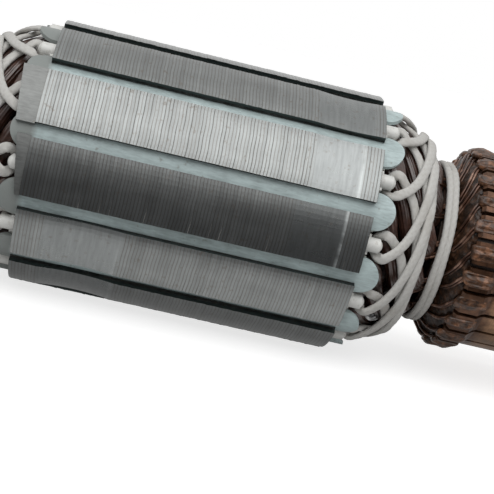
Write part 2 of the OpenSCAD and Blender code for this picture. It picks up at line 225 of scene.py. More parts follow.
class CoreSettings(PropertyGroup):
    """Sizes and colours of the sheet stack"""
    sheet: length("Sheet", "Thickness of one core sheet", 0.0005, min=0.0003, max=0.001)
    groove: length("Groove", "Depth of the groove between two sheets", 0.000016, min=0, max=0.0002)
    scatter: length("Scatter", "How unevenly the sheets stand out", 0.000012, min=0, max=0.0001)
    colour: tint("Sheet edge", "the sheets' steel edges", (0.206, 0.216, 0.214))
    stain: tint("Stain", "varnish and rust traces on the steel", (0.10, 0.085, 0.07))
    # The slot mouth colour is painted shade, put on the walls of the slot mouths
    mouth: tint("Slot mouth", "the walls of the slot mouths", (0.045, 0.056, 0.054))


class WindingSettings(PropertyGroup):
    """Sizes and colours of the wire"""
    wires: IntProperty(name="Wires", description="Wires seen round one coil's bundle", default=15,
                       min=8, max=24)
    wire_d: length("Wire", "Diameter of one wire", 0.00042, min=0.0002, max=0.001)
    varnish: tint("Varnished wire", "the varnished end turns", (0.042, 0.019, 0.013))
    copper: tint("Lead", "the enamelled leads", (0.10, 0.042, 0.022))
    rubbed: tint("Rubbed lead", "the leads where the enamel is rubbed", (0.26, 0.15, 0.105))
    lump: tint("Riser varnish", "the varnish on the risers", (0.092, 0.042, 0.021))


class CordSettings(PropertyGroup):
    """Sizes and colours of the lacing cord"""
    braid: length("Braid", "Length of one crossing of the braid", 0.0013, min=0.0006, max=0.003)
    relief: length("Relief", "Height of the braid's yarns", 0.00003, min=0, max=0.0002)
    colour: tint("Cord", "the cord", (0.64, 0.635, 0.61))
    soaked: tint("Soaked cord", "the cord where varnish has soaked in", (0.36, 0.33, 0.29))


class InsulationSettings(PropertyGroup):
    """Colours of the fibre, paper and moulded pieces"""
    wedge: tint("Wedge fibre", "the slot wedges", (0.44, 0.53, 0.53))
    leaf: tint("Leaf fibre", "the fibre leaves", (0.165, 0.17, 0.165))
    soaked: tint("Soaked wedge", "the wedges' ends at the drive end", (0.24, 0.26, 0.25))
    paper: tint("Slot paper", "the slot paper", (0.52, 0.54, 0.50))
    moulding: tint("Pegs", "the end insulators", (0.74, 0.74, 0.71))
    tube: tint("Shaft tube", "the moulded tube round the shaft", (0.045, 0.036, 0.030))


class MetalSettings(PropertyGroup):
    """Colours of the shaft and the commutator"""
    shaft: tint("Shaft", "the ground shaft", (0.42, 0.42, 0.43))
    bar: tint("Bars", "the turned bars", (0.33, 0.185, 0.10))
    tarnish: tint("Tarnish", "the tarnished copper", (0.16, 0.10, 0.06))
    hub: tint("Hub", "the moulded hub", (0.045, 0.026, 0.018))


class StageSettings(PropertyGroup):
    """Camera and light"""
    azimuth: turn("Azimuth", "Turn of the view from straight across the shaft", 5.88)
    elevation: turn("Elevation", "Height of the view above level", 9.88)
    roll: turn("Roll", "Turn of the view about its own axis", 14.01)
    distance: length("Distance", "Distance from the camera to the core", 0.1995, min=0.05, max=2)
    lens: FloatProperty(name="Lens", description="Focal length of the lens in millimetres", default=91.92,
                        min=20, max=200)
    aim_right: length("Aim right", "How far right of the core's middle the camera aims", 0.01022)
    aim_up: length("Aim up", "How far above the core's middle the camera aims", -0.00738)
    key: FloatProperty(name="Key lamp", description="Power of the lamp above the camera", default=2.9,
                       min=0, max=100)
    fill: FloatProperty(name="Fill", description="Brightness of the room", default=0.38, min=0, max=2)


# ---------- surfaces ----------

def polar(x, r, angle):
    """Points from distance along the shaft, radius, and angle in degrees from +Y towards +Z."""
    x, r, a = np.broadcast_arrays(x, r, np.radians(angle))
    return np.stack([x, r * np.cos(a), r * np.sin(a)], -1).astype(float)


def turned(points, angle):
    """Points turned about the shaft by an angle in degrees."""
    c, s = math.cos(math.radians(angle)), math.sin(math.radians(angle))
    x, y, z = points[..., 0], points[..., 1], points[..., 2]
    return np.stack([x, c * y - s * z, s * y + c * z], -1)


def unit(v):
    """Vectors divided by their lengths."""
    return v / np.linalg.norm(v, axis=-1, keepdims=True)


def run_along(points):
    """Distance along a path from its first point to each of its points."""
    return np.concatenate([[0], np.cumsum(np.linalg.norm(np.diff(points[:, :3], axis=0), axis=1))])


def smooth_path(knots, steps, closed):
    """Cubic curve through knots of any width. Each knot's slope is the mean of its two chords' slopes, each
    weighted by the other chord's length, and each chord is cut into equal steps. Closed paths wrap round."""
    k = np.asarray(knots, float)
    if closed:
        k = np.concatenate([k[-1:], k, k[:2]])
    else:
        k = np.concatenate([2 * k[:1] - k[1:2], k, 2 * k[-1:] - k[-2:-1]])
    chord = np.diff(k, axis=0)
    h = np.linalg.norm(chord[:, :3], axis=1)[:, None]
    slope = chord / h
    knot_slope = (slope[:-1] * h[1:] + slope[1:] * h[:-1]) / (h[:-1] + h[1:])
    p0, p1, h = k[1:-2, None], k[2:-1, None], h[1:-1, None]
    m0, m1 = knot_slope[:-1, None], knot_slope[1:, None]
    t = (np.arange(steps) / steps)[None, :, None]
    curve = ((2 * t**3 - 3 * t**2 + 1) * p0 + (t**3 - 2 * t**2 + t) * h * m0
             + (3 * t**2 - 2 * t**3) * p1 + (t**3 - t**2) * h * m1)
    curve = curve.reshape(-1, k.shape[1])
    return curve if closed else np.concatenate([curve, k[-2:-1]])


def even_path(path, spacing, closed):
    """The same path with its points an equal distance apart along it."""
    p = np.concatenate([path, path[:1]]) if closed else path
    run = run_along(p)
    count = max(8, int(round(run[-1] / spacing)))
    at = np.linspace(0, run[-1], count + 1)
    even = np.stack([np.interp(at, run, p[:, c]) for c in range(p.shape[1])], -1)
    return even[:-1] if closed else even


def path_frames(centres, ups, closed):
    """Side and up of each ring: the tangent joins the neighbouring points, up is the given direction made
    square to it, and side is tangent cross up."""
    if closed:
        tangent = unit(np.roll(centres, -1, 0) - np.roll(centres, 1, 0))
    else:
        tangent = unit(np.gradient(centres, axis=0))
    up = unit(ups - (ups * tangent).sum(-1, keepdims=True) * tangent)
    return np.cross(tangent, up), up


def sweep(centres, ups, across, high, closed):
    """A profile carried along a path: each ring is its centre plus side times across plus up times high,
    where across and high hold one row of profile offsets per ring."""
    side, up = path_frames(centres, ups, closed)
    points = centres[:, None] + side[:, None] * across[..., None] + up[:, None] * high[..., None]
    rings, m = points.shape[:2]
    faces = grid_faces(rings, m, closed, True)
    if not closed:
        faces += [list(range(m))[::-1], [(rings - 1) * m + j for j in range(m)]]
    return points.reshape(-1, 3), faces


def grid_faces(rows, cols, wrap_rows, wrap_cols):
    """Four-sided faces between neighbouring rows and columns of a grid of points."""
    i = np.arange(rows if wrap_rows else rows - 1)[:, None]
    j = np.arange(cols if wrap_cols else cols - 1)[None, :]
    i2, j2 = (i + 1) % rows, (j + 1) % cols
    quads = np.stack([i * cols + j, i * cols + j2, i2 * cols + j2, i2 * cols + j], -1)
    return quads.reshape(-1, 4).tolist()


def flat_round(count, power):
    """A closed profile with |x|^power + |y|^power = 1, its points spread evenly in angle."""
    a = np.linspace(0, 2 * np.pi, count, endpoint=False)
    r = (np.abs(np.cos(a))**power + np.abs(np.sin(a))**power) ** (-1 / power)
    return r * np.cos(a), r * np.sin(a), a


def signed_volume(points, faces):
    """Six times the volume inside the four-sided faces, positive where they face outwards."""
    quads = np.array([f for f in faces if len(f) == 4])
    a, b, c, d = (points[quads[:, n]] for n in range(4))
    return float((np.cross(a, b) * c).sum() + (np.cross(a, c) * d).sum())


def add_object(name, data):
    """A new object at the origin."""
    made = bpy.data.objects.new(name, data)
    bpy.context.scene.collection.objects.link(made)
    return made


class Shell:
    """Points, faces, a material number for each face and a pattern place for each point."""

    def __init__(self):
        self.points, self.faces, self.slots, self.places, self.count = [], [], [], [], 0

    def add(self, points, faces, slot=0, places=None, closed=True):
        """Adds one surface. A closed one is turned so that its faces point outwards."""
        if closed and signed_volume(points, faces) < 0:
            faces = [f[::-1] for f in faces]
        self.points.append(points)
        self.faces += [[v + self.count for v in f] for f in faces]
        self.slots += [slot] * len(faces)
        self.places.append(np.zeros((len(points), 3)) if places is None else places)
        self.count += len(points)

    def build(self, name, materials, replaced=(), smooth=True):
        """Makes the object at the origin, with its place in its mesh, and lets it ride on the root body."""
        mesh = bpy.data.meshes.new(name)
        mesh.from_pydata(np.concatenate(self.points) * MM, [], self.faces)
        for material in materials:
            mesh.materials.append(material)
        mesh.polygons.foreach_set("material_index", self.slots)
        mesh.polygons.foreach_set("use_smooth", [smooth] * len(self.faces))
        place = mesh.attributes.new("place", "FLOAT_VECTOR", "POINT")
        place.data.foreach_set("vector", np.concatenate(self.places).astype(np.float32).ravel())
        mesh.update()
        piece = add_object(name, mesh)
        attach(piece, "root")
        if replaced:
            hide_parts(*replaced)


# ---------- materials ----------

class Nodes:
    """Adds nodes to a material's or a world's tree."""

    def __init__(self, tree):
        self.tree = tree

    def feed(self, socket, value):
        """Links another node's output to a socket, or sets the socket to a constant."""
        if isinstance(value, bpy.types.NodeSocket):
            self.tree.links.new(value, socket)
        else:
            socket.default_value = value

    def node(self, kind, settings=(), **inputs):
        """A node with its settings, and its inputs fed by name, or by number as i0, i1 and so on."""
        made = self.tree.nodes.new(kind)
        for key, value in dict(settings).items():
            setattr(made, key, value)
        for key, value in inputs.items():
            number = key[0] == "i" and key[1:].isdigit()
            self.feed(made.inputs[int(key[1:]) if number else key.replace("_", " ")], value)
        return made

    def maths(self, operation, a, b):
        """One step of arithmetic on two values."""
        return self.node("ShaderNodeMath", {"operation": operation}, i0=a, i1=b).outputs[0]

    def spread(self, value, low, high, start=0.0, end=1.0):
        """A value from start to end stretched to the range from low to high, and held there."""
        return self.node("ShaderNodeMapRange", Value=value, From_Min=start, From_Max=end, To_Min=low,
                         To_Max=high).outputs[0]

    def background_ray(self):
        """1 for what the camera, mirrors and glass see, and 0 for what lights the object."""
        path = self.node("ShaderNodeLightPath").outputs
        mirrored = self.maths("MAXIMUM", path["Is Glossy Ray"], path["Is Transmission Ray"])
        return self.maths("MAXIMUM", path["Is Camera Ray"], mirrored)


class Finish(Nodes):
    """A node material whose patterns are measured in millimetres on the object's own coordinates."""

    def __init__(self, name):
        self.material = bpy.data.materials.new(name)
        self.material.use_nodes = True
        super().__init__(self.material.node_tree)
        self.shader = self.tree.nodes["Principled BSDF"]

    @cached_property
    def place(self):
        """The object's own coordinates, in metres."""
        return self.node("ShaderNodeTexCoord").outputs["Object"]

    @cached_property
    def marks(self):
        """The piece's place attribute, as a vector."""
        return self.node("ShaderNodeAttribute", {"attribute_name": "place"}).outputs["Vector"]

    def split(self, vector):
        """The three parts of a vector."""
        return self.node("ShaderNodeSeparateXYZ", i0=vector).outputs

    def along(self):
        """Distance along the shaft, in millimetres."""
        return self.maths("DIVIDE", self.split(self.place)[0], MM)

    def noise(self, scale, detail=3.0, roughness=0.55, vector=None):
        """Noise of 0 to 1. The scale is in waves per millimetre, for all directions or for X, Y and Z, or in
        waves per unit of another vector."""
        waves = np.broadcast_to(scale, 3) / (MM if vector is None else 1)
        at = self.node("ShaderNodeMapping", Vector=vector or self.place, Scale=waves.tolist()).outputs[0]
        return self.node("ShaderNodeTexNoise", Vector=at, Scale=1.0, Detail=detail,
                         Roughness=roughness).outputs[0]

    def blend(self, a, b, share):
        """Two values added, the first times a share and the second times what is left of 1."""
        return self.maths("ADD", self.maths("MULTIPLY", a, share), self.maths("MULTIPLY", b, 1 - share))

    def ramp(self, value, *stops):
        """Colours or greys that follow a value of 0 to 1."""
        made = self.node("ShaderNodeValToRGB", Fac=value)
        elements = made.color_ramp.elements
        while len(elements) < len(stops):
            elements.new(0.5)
        for element, (place, colour) in zip(elements, stops):
            element.position = place
            element.color = (*np.broadcast_to(colour, 3), 1)
        return made.outputs[0]

    def tones(self, value, colour, *stops):
        """A colour times the factors of the stops, as it follows a value of 0 to 1."""
        return self.ramp(value, *((place, shade(colour, factor)) for place, factor in stops))

    def mix(self, factor, a, b):
        """Two colours mixed by a factor."""
        return self.node("ShaderNodeMix", {"data_type": "RGBA"}, i0=factor, i6=a, i7=b).outputs[2]

    def bump(self, height, distance, strength=1.0, **normal):
        """Surface relief of that many millimetres."""
        made = self.node("ShaderNodeBump", Height=height, Distance=distance * MM, Strength=strength, **normal)
        return made.outputs[0]

    def finish(self, colour, roughness, **values):
        """Feeds the shader's colour, roughness and other values."""
        for name, value in (("Base Color", colour), ("Roughness", roughness), *values.items()):
            self.feed(self.shader.inputs[name.replace("_", " ")], value)
        return self.material


def shade(colour, factor):
    """A colour times a factor."""
    return tuple(min(1.0, c * factor) for c in colour)


def rgba(colour, factor=1.0):
    """A colour times a factor, with full opacity."""
    return (*shade(colour, factor), 1.0)


def sheet_edge_finish(core):
    """Steel sheet edges: every sheet has its own grey, with dark joints, varnish traces, and smooth metal
    where a balancing cut has ground the sheets. A painted glint lies near each cut's far end, and painted
    shade on the walls of the slot mouths. The place attribute holds the cut, the joint's depth, and the
    strength of the painted glint or -1 for the painted shade on the mouth walls."""
    f = Finish("core_sheet_edges")
    ground, joint, painted_light = f.split(f.marks)
    painted_glint = f.maths("MAXIMUM", painted_light, 0.0)
    painted_wall_shade = f.maths("MAXIMUM", f.maths("MULTIPLY", painted_light, -1.0), 0.0)
    per_sheet = f.noise((0.8 / (core.sheet / MM), 0.03, 0.03), 1.0)
    drift = f.noise((0.12, 0.3, 0.3), 4.0)
    tone = f.tones(f.blend(per_sheet, drift, 0.45), core.colour, (0.30, 0.80), (0.50, 1), (0.70, 1.22))
    tone = f.mix(f.maths("MULTIPLY", joint, 0.75), tone, rgba(core.stain, 0.9))
    smooth = f.tones(f.noise((2.2, 0.25, 0.25), 4.0, 0.6), core.colour, (0.35, 0.86), (0.65, 1.05))
    tone = f.mix(ground, tone, smooth)
    broken = f.ramp(f.noise((0.2, 0.5, 0.5)), (0.40, 0.3), (0.60, 1.0))
    # Painted glint: the sheet colour brightened 4.5 times near each balancing cut's far end, broken up by
    # noise
    tone = f.mix(f.maths("MULTIPLY", painted_glint, broken), tone, rgba(core.colour, 4.5))
    stained = f.ramp(f.noise((1.4, 1.1, 1.1), 4.0, 0.6), (0.60, 0.0), (0.72, 0.55))
    tone = f.mix(stained, tone, rgba(core.stain, 1.3))
    # Painted shade: the walls of the slot mouths take the dark mouth colour
    tone = f.mix(painted_wall_shade, tone, rgba(core.mouth))
    roughness = f.maths("ADD", f.spread(drift, 0.27, 0.37), f.maths("MULTIPLY", stained, 0.15))
    roughness = f.maths("SUBTRACT", roughness, f.maths("MULTIPLY", ground, 0.04))
    relief = f.bump(f.noise((5.0, 1.0, 1.0)), 0.02, 0.6)
    return f.finish(tone, roughness, Normal=relief, Metallic=0.85)


def slot_wall_finish(core):
    """The dark punched walls inside the slots and the stack's end faces."""
    f = Finish("core_slot_walls")
    dark, light = shade(core.stain, 0.5), shade(core.colour, 0.35)
    tone = f.ramp(f.noise((2.0, 0.4, 0.4), 4.0), (0.3, dark), (0.7, light))
    return f.finish(tone, f.spread(f.noise(1.0), 0.45, 0.7), Normal=f.bump(f.noise((2.0, 0.3, 0.3)), 0.05),
                    Metallic=0.5)


def varnished_wire_finish(winding):
    """Enamelled wire under baked varnish: maroon brown, in clouds, with glossy runs of varnish."""
    f = Finish("varnished_wire")
    fine = f.noise(2.5)
    cloud = f.blend(f.noise(0.35, 4.0), fine, 0.7)
    tone = f.tones(cloud, winding.varnish, (0.32, 0.45), (0.5, 1), (0.68, 2.4))
    runs = f.bump(f.noise(0.9, 2.0), 0.12, 0.5)
    return f.finish(tone, f.spread(fine, 0.22, 0.42), Normal=f.bump(fine, 0.03, 0.5, Normal=runs),
                    Coat_Weight=0.5, Coat_Roughness=0.12)


def lead_finish(winding):
    """Enamelled copper leads, brighter where the enamel is rubbed."""
    f = Finish("lead_wire")
    worn = f.noise(0.45, 2.0)
    tone = f.ramp(worn, (0.40, shade(winding.copper, 0.4)), (0.54, winding.copper), (0.62, winding.rubbed))
    return f.finish(tone, f.spread(worn, 0.25, 0.45), Normal=f.bump(worn, 0.02), Metallic=0.4,
                    Coat_Weight=0.25, Coat_Roughness=0.2)


def lump_finish(name, colour, coat):
    """Thick glossy varnish: cloudy tone with dark patches, and an uneven shining skin."""
    f = Finish(name)
    cloud = f.noise(0.9, 5.0, 0.6)
    tone = f.tones(cloud, colour, (0.36, 0.3), (0.52, 1), (0.66, 2.6))
    skin = f.bump(f.noise((1.3, 3.2, 3.2)), 0.20, 0.8)
    return f.finish(tone, f.spread(cloud, 0.30, 0.5), Normal=skin, Coat_Weight=coat,
                    Coat_Roughness=0.07, Specular_IOR_Level=0.25)


def cord_finish(name, cord):
    """Braided cord: fine yarns across the braid's crossings, with varnish soaked into patches. The place
    attribute holds the run along the cord, the place across it, and the braid's own height."""
    f = Finish(name)
    height = f.split(f.marks)[2]
    soaked = f.ramp(f.noise(0.16, 4.0), (0.52, 0.0), (0.74, 0.5))
    yarn = f.noise((4.0, 9.0, 0.0), 2.0, 0.5, f.marks)
    # The braid's low parts take up to 0.3 of the soaked colour, so the hollows between yarns are darker
    clean = f.mix(f.spread(height, 0.30, 0.0), rgba(cord.colour), rgba(cord.soaked))
    tone = f.mix(soaked, clean, rgba(cord.soaked))
    tone = f.mix(f.spread(yarn, 0.0, 0.30), tone, rgba(cord.soaked, 0.8))
    fuzz = f.bump(f.noise(6.0, 2.0), 0.04, 0.5)
    return f.finish(tone, f.spread(yarn, 0.75, 0.92), Normal=f.bump(yarn, 0.05, 0.7, Normal=fuzz),
                    Sheen_Weight=0.12, Specular_IOR_Level=0.3)


def fibre_finish(name, colour, metallic=0.0, gloss=0.42, soaked=None):
    """Pressed fibre: short matted fibres along the shaft, clouds, and a few varnish spots. What stands out of
    the stack's drive end can have a soaked colour of its own."""
    f = Finish(name)
    mat = f.noise((0.7, 3.5, 3.5), 4.0, 0.6)
    cloud = f.noise(0.25, 4.0)
    tone = f.tones(f.blend(mat, cloud, 0.5), colour, (0.34, 0.72), (0.5, 1), (0.64, 1.2))
    if soaked is not None:
        outside = f.spread(f.along(), 0, 1, CORE_X0 + 0.6, CORE_X0 - 0.4)
        tone = f.mix(outside, tone, rgba(soaked))
    spots = f.ramp(f.noise(1.1, 3.0, 0.5), (0.66, 0.0), (0.74, 0.45))
    return f.finish(f.mix(spots, tone, rgba((0.16, 0.13, 0.09))), f.spread(cloud, gloss, gloss + 0.2),
                    Normal=f.bump(mat, 0.03, 0.6), Metallic=metallic)


def moulding_finish(name, colour, stain, gloss=0.38):
    """Moulded plastic: even colour with faint clouds and stained spots."""
    f = Finish(name)
    cloud = f.noise(0.3, 5.0)
    spots = f.ramp(f.noise(1.3, 5.0, 0.65), (0.56, 0.0), (0.72, 0.5))
    tone = f.tones(cloud, colour, (0.3, 0.86), (0.7, 1.06))
    return f.finish(f.mix(spots, tone, rgba(stain)), f.spread(cloud, gloss, gloss + 0.16),
                    Normal=f.bump(f.noise(3.0), 0.02, 0.5))


def turned_pattern(f, lines_per_mm):
    """Clouds of tarnish, a mixture of them with fine rings round the shaft, and the rings' relief."""
    rings = f.noise((lines_per_mm, 0.05, 0.05), 2.0, 0.6)
    cloud = f.noise((0.3, 0.5, 0.5), 5.0, 0.6)
    return cloud, f.blend(rings, cloud, 0.35), f.bump(rings, 0.015, 0.7)


def shaft_finish(metal):
    """Ground steel with fine rings and faint tarnish."""
    f = Finish("ground_shaft")
    cloud, mixture, relief = turned_pattern(f, 9.0)
    tone = f.tones(mixture, metal.shaft, (0.30, 0.72), (0.52, 1), (0.74, 1.15))
    return f.finish(tone, f.spread(cloud, 0.24, 0.34), Normal=relief, Metallic=1.0)


def bar_finish(metal, winding):
    """Turned copper with tarnish, under dark varnish that ends in a ragged line past the riser."""
    f = Finish("turned_bars")
    cloud, mixture, relief = turned_pattern(f, 7.0)
    copper = f.ramp(mixture, (0.34, metal.tarnish), (0.52, metal.bar), (0.70, shade(metal.bar, 1.25)))
    past = f.maths("SUBTRACT", f.along(), COMM_X + RISER_L)
    ragged = f.maths("SUBTRACT", past, f.spread(f.noise(0.8, 4.0), -0.6, 2.6))
    bare = f.spread(ragged, 0, 1, -0.4, 1.8)
    varnish = f.tones(f.noise(1.2, 4.0), winding.lump, (0.3, 0.5), (0.7, 1.3))
    roughness = f.maths("ADD", f.spread(cloud, 0.26, 0.42), f.maths("MULTIPLY", bare, 0.02))
    return f.finish(f.mix(bare, varnish, copper), roughness, Normal=relief, Metallic=0.6)


def dress(material, *names):
    """Gives a material to the frame nodes of these names, numbered or not."""
    for name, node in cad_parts.items():
        if name.rstrip("_0123456789") in names:
            for slot in node.material_slots:
                slot.material = material


# ---------- pieces ----------

def slot_half(r):
    """Half a slot's width at a distance r from the axis, between parallel tooth walls: r times the sine of
    half the pitch, less half a tooth's width, all over the cosine of half the pitch."""
    half = math.radians(PITCH / 2)
    return (r * math.sin(half) - TOOTH_W / 2) / math.cos(half)


class ARMATURE_OT_core(Operator):
    """Sheet stack with a real edge for every sheet and the smooth balancing cuts"""
    bl_idname = "armature.core"
    bl_label = "Sheet stack"

    def execute(self, context):
        core = context.scene.armature_core
        shell = Shell()
        self.add_tooth_tips(shell, core)
        self.add_slot_walls(shell)
        shell.build("core_sheets", [sheet_edge_finish(core), slot_wall_finish(core)],
                    ["lamination_stack"], smooth=False)
        return {"FINISHED"}

    def add_tooth_tips(self, shell, core):
        """The skin of the twelve tooth tips. Its radius is the core's, less a groove at each joint, plus each
        sheet's own small offset and its lean across the tip, and no more than a balancing cut leaves. Half a
        sine wave along the shaft bows the sheets, and the edges turn down the walls of the slot mouths."""
        sheet, groove, scatter = core.sheet / MM, core.groove / MM, core.scatter / MM
        count = int(round((CORE_X1 - CORE_X0) / sheet))
        parts, depths = np.array(SHEET_PROFILE).T
        x = np.append((np.arange(count)[:, None] + parts).ravel() * sheet, CORE_X1 - CORE_X0)
        joint = np.append(np.tile(depths, count), 1.0)
        rng = np.random.default_rng(7)
        which = np.minimum((x / sheet + 1e-6).astype(int), count - 1)
        arc = np.linspace(-HALF_TIP, HALF_TIP, 13)
        for tooth in range(SLOTS):
            offset = rng.normal(0, scatter, count)[which]
            lean = rng.normal(0, scatter, count)[which]
            r = (CORE_R - groove * joint + np.minimum(offset, STAND_OUT))[:, None]
            r = r + lean[:, None] * arc / HALF_TIP
            limit, painted_glint = self.balancing_cut(tooth, x[:, None])
            ground = np.clip((r - limit) / GROUND_EDGE, 0, 1)
            r = np.minimum(r, limit)
            sag = np.sin(np.radians(arc * 9 + tooth * 77)) + 0.5 * np.sin(np.radians(arc * 31 + tooth * 40))
            wave = STACK_WAVE * sag * np.sin(np.pi * x / x[-1])[:, None]
            skin = polar((CORE_X0 + x)[:, None] + wave, r, tooth * PITCH + arc)
            walls = [self.mouth_wall(x, r, tooth, side, drop)
                     for side, drop in ((-1, MOUTH_LOW), (-1, MOUTH_TOP), (1, MOUTH_TOP), (1, MOUTH_LOW))]
            points = np.concatenate([*walls[:2], skin, *walls[2:]], 1)
            marks = np.zeros(points.shape)
            marks[:, 2:-2, 0] = ground
            marks[:, :, 1] = joint[:, None]
            # Third mark: the painted glint's strength on the tip, and -1 on the mouth walls for painted shade
            marks[:, 2:-2, 2] = painted_glint * ground
            marks[:, [0, 1, -2, -1], 2] = -1
            faces = [f[::-1] for f in grid_faces(*points.shape[:2], False, False)]
            shell.add(points.reshape(-1, 3), faces, 0, marks.reshape(-1, 3), closed=False)

    def balancing_cut(self, tooth, x):
        """The radius that a balancing cut leaves at each place along a tooth, and the strength of a painted
        glint near its far end, where a burr would catch the light. The wheel's circle lies below the rim by
        the depth, less R, plus sqrt(R squared minus dx squared). The painted glint peaks one width before the
        cut's far end and fades evenly to both sides."""
        for number, middle, depth, glint_strength in BALANCE_CUTS:
            if number == tooth:
                dx = np.minimum(np.abs(x - middle), BALANCE_WHEEL_R)
                end = middle + math.sqrt(BALANCE_WHEEL_R**2 - (BALANCE_WHEEL_R - depth)**2)
                limit = CORE_R - depth + BALANCE_WHEEL_R - np.sqrt(BALANCE_WHEEL_R**2 - dx**2)
                return limit, np.clip(1 - np.abs(x - end + PAINTED_GLINT_W) / PAINTED_GLINT_W, 0, 1) * glint_strength
        return np.full(x.shape, np.inf), np.zeros(x.shape)

    def mouth_wall(self, x, r, tooth, side, drop):
        """One column of points down the wall of a slot's mouth, at one side of a tooth's tip. Its angle from
        the slot's middle is the arc sine of half the mouth's width over the radius."""
        low = r[:, 0 if side < 0 else -1] - drop
        angle = tooth * PITCH + side * (PITCH / 2 - np.degrees(np.arcsin(SLOT_MOUTH / 2 / low)))
        return polar(CORE_X0 + x, low, angle)[:, None]

    def add_slot_walls(self, shell):
        """Slot walls and floors run straight along the shaft; the end faces join each slot's outline to the
        bore. Between the ends, the part of this surface below the tips is sunk out of sight."""
        corner = SLOT_FLOOR_R + FLOOR_CORNER
        floor, mouth = slot_half(corner), SLOT_MOUTH / 2
        side = np.array([[SLOT_FLOOR_R, floor - 0.8], [SLOT_FLOOR_R + 0.3, floor - 0.3], [corner, floor],
                         [SHOULDER_R, slot_half(SHOULDER_R)], [ROOF_R, mouth], [CORE_R - WALL_TOP, mouth]])
        outline = np.concatenate([side[::-1] * (1, -1), side])
        arc = np.linspace(-HALF_TIP, HALF_TIP, 9)
        rim_r = np.concatenate([np.hypot(*outline.T), np.full(len(arc), CORE_R - MOUTH_TOP)])
        rim_a = np.concatenate([np.degrees(np.arctan2(outline[:, 1], outline[:, 0])), PITCH / 2 + arc])
        r = np.tile(rim_r, SLOTS)
        a = ((np.arange(SLOTS)[:, None] + 0.5) * PITCH + rim_a).ravel()
        under = np.minimum(r, CORE_R - UNDER_SKIN)
        bore = np.full(len(r), TUBE_R + FIT_GAP)
        grid = np.stack([polar(x, radius, a) for x, radius in (
            (CORE_X0, bore), (CORE_X0, r), (CORE_X0 + UNDER_STEP, under), (CORE_X1 - UNDER_STEP, under),
            (CORE_X1, r), (CORE_X1, bore))])
        shell.add(grid.reshape(-1, 3), grid_faces(len(grid), len(r), True, True), 1)


def coil_knots():
    """Knots of a coil's route: place, direction out of the winding, and the bundle's half width and height.
    The outer side lies at angle 0 and the inner one a coil's span further round. Each end turn eases away
    from its slot with a power of its run and leans in by the cone's angle; the bend at its end is a half
    circle of three knots."""

    def knot(x, r, a, tilt, half):
        """A knot whose outward direction leans from the radius towards the shaft's +X by a tilt."""
        t = math.radians(tilt)
        return [*polar(x, r, a), *polar(math.sin(t), math.cos(t), a), *half]

    def half_turn(face, side, r0, r1, a0, way, tilt, half):
        """Place and radius change evenly with the run t of an end turn, and its angle with a power of t. Its
        tilt goes to the cone's, and its section to the bend's, over the first third."""
        made = [(face, r0, a0, tilt, half)]
        for t in np.arange(TURN_STEPS + 1) / TURN_STEPS:
            b = min(1, t * 3)
            made.append((face + side * (EXIT_L + (OVERHANG - EXIT_L) * t), r0 + (r1 - r0) * t,
                         a0 + way * TURN_ANGLE * t**TURN_POWER, tilt + side * CONE * b,
                         tuple(h + (k - h) * b for h, k in zip(half, BUNDLE))))
        return made

    def bend(face, side):
        """Place bulges outwards with the sine of an angle b, and radius and angle follow its cosine."""
        made = []
        for b in (60, 90, 120):
            c, s = math.cos(math.radians(b)), math.sin(math.radians(b))
            made.append((face + side * (OVERHANG + BEND_BULGE * s),
                         (BEND_R_OUT + BEND_R_IN) / 2 + (BEND_R_OUT - BEND_R_IN) / 2 * c,
                         SPAN_ANGLE / 2 - BEND_ANGLE * c, side * b, BUNDLE))
        return made

    route = []
    for face, side in ((CORE_X1, 1), (CORE_X0, -1)):
        outer = half_turn(face, side, SIDE_R_OUT, BEND_R_OUT, 0, 1, 0, SIDE_OUT)
        inner = half_turn(face, side, SIDE_R_IN, BEND_R_IN, SPAN_ANGLE, -1, 180, SIDE_IN)
        route += (outer + bend(face, side) + inner[::-1])[::side]
    return np.array([knot(*entry) for entry in route])


def lead_route(a0, a1):
    """A lead's knots: out of the bend, along the neck under the binding, and slanting up into the riser's
    slot. Each row gives the place, how far the radius has risen to the seat, and how far the angle has gone
    from a0 to a1, both as shares of 1."""
    rows = [(BINDING_END + share * (COMM_X - BINDING_END), up, along) for share, up, along in LEAD_RISE]
    rows += [(COMM_X + 0.2, 1, 1), (COMM_X + RISER_L * 0.6, 1, 1)]
    start = [polar(CORE_X1 + OVERHANG + 0.2, BEND_R_OUT - 0.2, a0),
             polar(CORE_X1 + WINDING_REACH, LEAD_NECK_R + 0.1, a0 + (a1 - a0) * 0.08)]
    return np.array(start + [polar(x, LEAD_NECK_R + (LEAD_SEAT_R - LEAD_NECK_R) * up, a0 + (a1 - a0) * along)
                             for x, up, along in rows])


